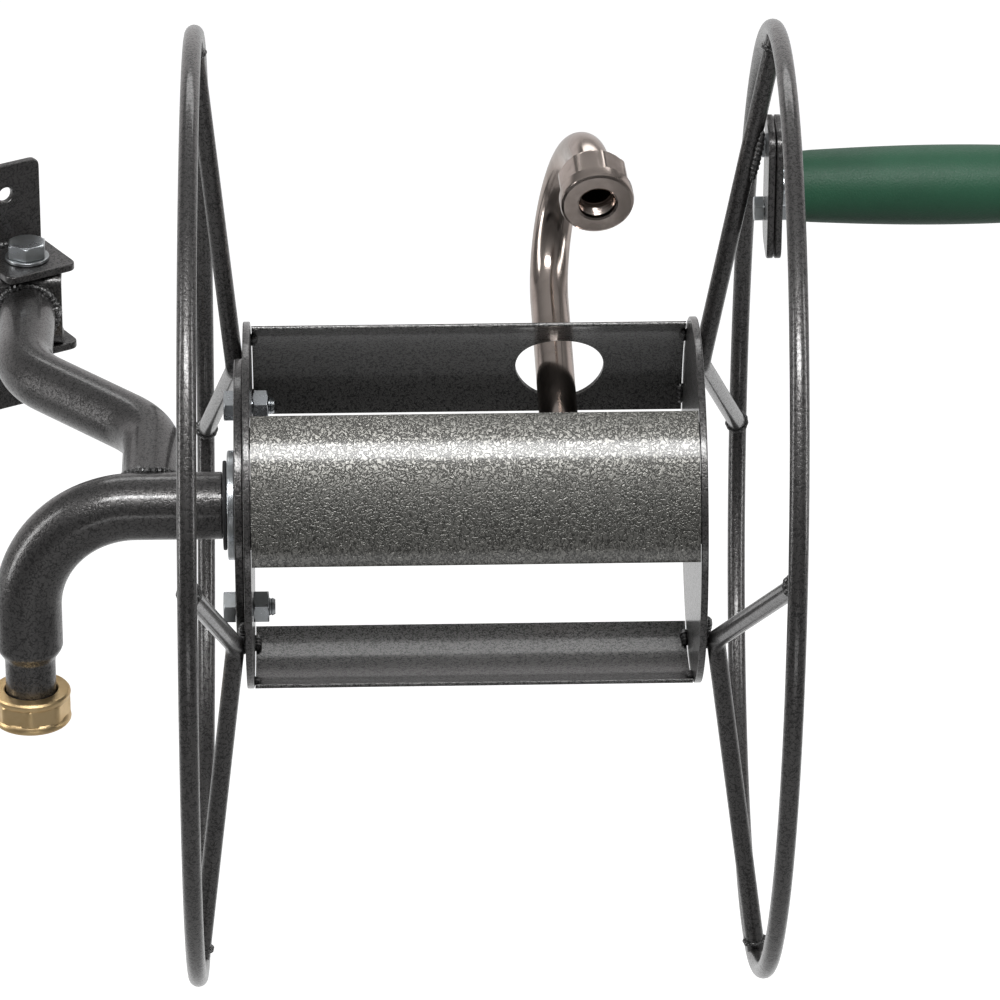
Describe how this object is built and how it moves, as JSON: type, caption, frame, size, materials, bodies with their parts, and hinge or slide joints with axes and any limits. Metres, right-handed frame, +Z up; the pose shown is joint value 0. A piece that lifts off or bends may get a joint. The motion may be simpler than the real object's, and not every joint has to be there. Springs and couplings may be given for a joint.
{
  "type": "wall mounted swivel hose reel",
  "caption": "Wall-mounted garden hose reel: wire rims and slatted drum on a swinging arm, with inlet elbow, gooseneck outlet and crank grip.",
  "frame": {"origin": "centre of the wall plate's back face, which rests on the wall", "axes": "+Z up, +Y into the wall, -Y into the room, +X to the right along the wall seen from the room"},
  "size_m": [0.4686, 0.5418, 0.4062],
  "materials": {
    "hammered_paint": "dark grey hammered enamel, semi-gloss",
    "zinc": "bright zinc plate",
    "nickel": "warm satin nickel plate",
    "brass": "machined brass",
    "black_rubber": "matt black rubber",
    "green_grip": "dark green moulded grip, satin",
    "black_nylon": "black nylon"
  },
  "bodies": {
    "wall_bracket": {"wall_plate": "hammered_paint", "upper_ear": "hammered_paint", "lower_ear": "hammered_paint", "pivot_bolt": "zinc", "pivot_washer": "zinc", "pivot_nut": "zinc"},
    "arm": {"swivel_knuckle": "hammered_paint", "support_arm": "hammered_paint", "inlet_pipe": "hammered_paint", "inlet_gasket": "black_rubber", "axle_sleeve": "brass", "axle_seal": "black_rubber"},
    "hose_nut": {"inlet_nut": "brass"},
    "grip": {"grip": "green_grip", "grip_bushing": "black_nylon"},
    "reel": {"hub_tube": "hammered_paint", "bearing_plate": "hammered_paint", "left_disc": "hammered_paint", "right_disc": "hammered_paint", "slat_back": "hammered_paint", "slat_front": "hammered_paint", "slat_low": "hammered_paint", "left_rim": "hammered_paint", "right_rim": "hammered_paint", "left_spokes_upper": "hammered_paint", "left_spokes_lower": "hammered_paint", "right_spokes_upper": "hammered_paint", "right_spokes_lower": "hammered_paint", "handle_plate_inner": "hammered_paint", "handle_plate_outer": "hammered_paint", "bearing_flange": "zinc", "plate_bolt_upper": "zinc", "plate_nut_upper": "zinc", "plate_bolt_lower": "zinc", "plate_nut_lower": "zinc", "handle_bolt_upper": "zinc", "handle_nut_upper": "zinc", "handle_bolt_lower": "zinc", "handle_nut_lower": "zinc", "grip_stud": "zinc", "gooseneck": "nickel", "outlet_fitting": "nickel"}
  },
  "joints": [
    {"name": "arm_swing", "type": "hinge", "parent": "wall_bracket", "child": "arm", "pos_m": [0, -0.022, 0], "axis": [0, 0, 1], "range_deg": [-60, 30]},
    {"name": "reel_spin", "type": "hinge", "parent": "arm", "child": "reel", "pos_m": [0.06237, -0.30396, 0], "axis": [0.866, -0.5, 0], "continuous": true},
    {"name": "nut_spin", "type": "hinge", "parent": "arm", "child": "hose_nut", "pos_m": [-0.10113, -0.20956, -0.0934], "axis": [0, 0, 1], "continuous": true},
    {"name": "grip_spin", "type": "hinge", "parent": "reel", "child": "grip", "pos_m": [0.26595, -0.35521, 0.11931], "axis": [0.866, -0.5, 0], "continuous": true}
  ]
}
